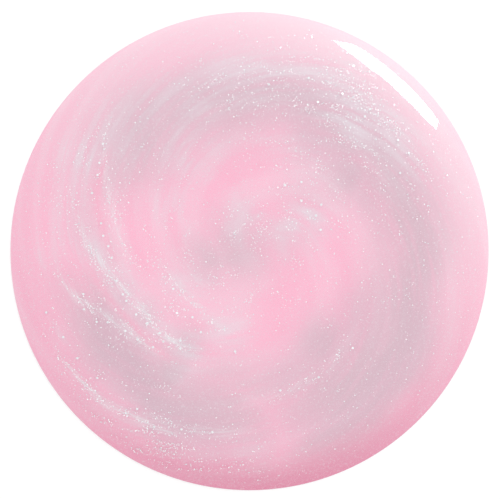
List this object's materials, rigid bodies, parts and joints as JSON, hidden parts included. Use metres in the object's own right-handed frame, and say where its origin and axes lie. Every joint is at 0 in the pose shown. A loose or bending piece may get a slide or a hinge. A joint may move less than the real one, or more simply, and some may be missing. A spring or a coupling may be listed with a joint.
{
  "type": "drop of glitter gel",
  "caption": "Round, flat-bottomed drop of pearl-pink glitter gel, poured as a colour sample: pigmented gel, silver flakes and a clear glossy top.",
  "frame": {"origin": "centre of the flat underside, on the surface that the drop lies on", "axes": "+Z is the drop's axis, up from the table; seen from above with +Y up and +X right, the highlight of the picture lies up and to the right"},
  "size_m": [0.03, 0.03, 0.0016],
  "materials": {
    "pearl_pink_gel": "satin",
    "clear_gel": "gloss",
    "silver_glitter": "polished"
  },
  "bodies": {
    "root": {"gel_body": "pearl_pink_gel", "clear_top_layer": "clear_gel", "glitter_flake_01": "silver_glitter", "glitter_flake_02": "silver_glitter", "glitter_flake_03": "silver_glitter", "glitter_flake_04": "silver_glitter", "glitter_flake_05": "silver_glitter", "glitter_flake_06": "silver_glitter", "glitter_flake_07": "silver_glitter", "glitter_flake_08": "silver_glitter", "glitter_flake_09": "silver_glitter", "glitter_flake_10": "silver_glitter", "glitter_flake_11": "silver_glitter", "glitter_flake_12": "silver_glitter", "glitter_flake_13": "silver_glitter", "glitter_flake_14": "silver_glitter", "glitter_flake_15": "silver_glitter", "glitter_flake_16": "silver_glitter", "glitter_flake_17": "silver_glitter", "glitter_flake_18": "silver_glitter", "glitter_flake_19": "silver_glitter", "glitter_flake_20": "silver_glitter", "glitter_flake_21": "silver_glitter", "glitter_flake_22": "silver_glitter", "glitter_flake_23": "silver_glitter", "glitter_flake_24": "silver_glitter", "glitter_flake_25": "silver_glitter", "glitter_flake_26": "silver_glitter", "glitter_flake_27": "silver_glitter", "glitter_flake_28": "silver_glitter", "glitter_flake_29": "silver_glitter", "glitter_flake_30": "silver_glitter", "glitter_flake_31": "silver_glitter", "glitter_flake_32": "silver_glitter", "glitter_flake_33": "silver_glitter", "glitter_flake_34": "silver_glitter", "glitter_flake_35": "silver_glitter", "glitter_flake_36": "silver_glitter", "glitter_flake_37": "silver_glitter", "glitter_flake_38": "silver_glitter", "glitter_flake_39": "silver_glitter", "glitter_flake_40": "silver_glitter", "glitter_flake_41": "silver_glitter", "glitter_flake_42": "silver_glitter", "glitter_flake_43": "silver_glitter", "glitter_flake_44": "silver_glitter", "glitter_flake_45": "silver_glitter", "glitter_flake_46": "silver_glitter", "glitter_flake_47": "silver_glitter", "glitter_flake_48": "silver_glitter", "glitter_flake_49": "silver_glitter", "glitter_flake_50": "silver_glitter", "glitter_flake_51": "silver_glitter", "glitter_flake_52": "silver_glitter", "glitter_flake_53": "silver_glitter", "glitter_flake_54": "silver_glitter", "glitter_flake_55": "silver_glitter", "glitter_flake_56": "silver_glitter"}
  },
  "joints": []
}
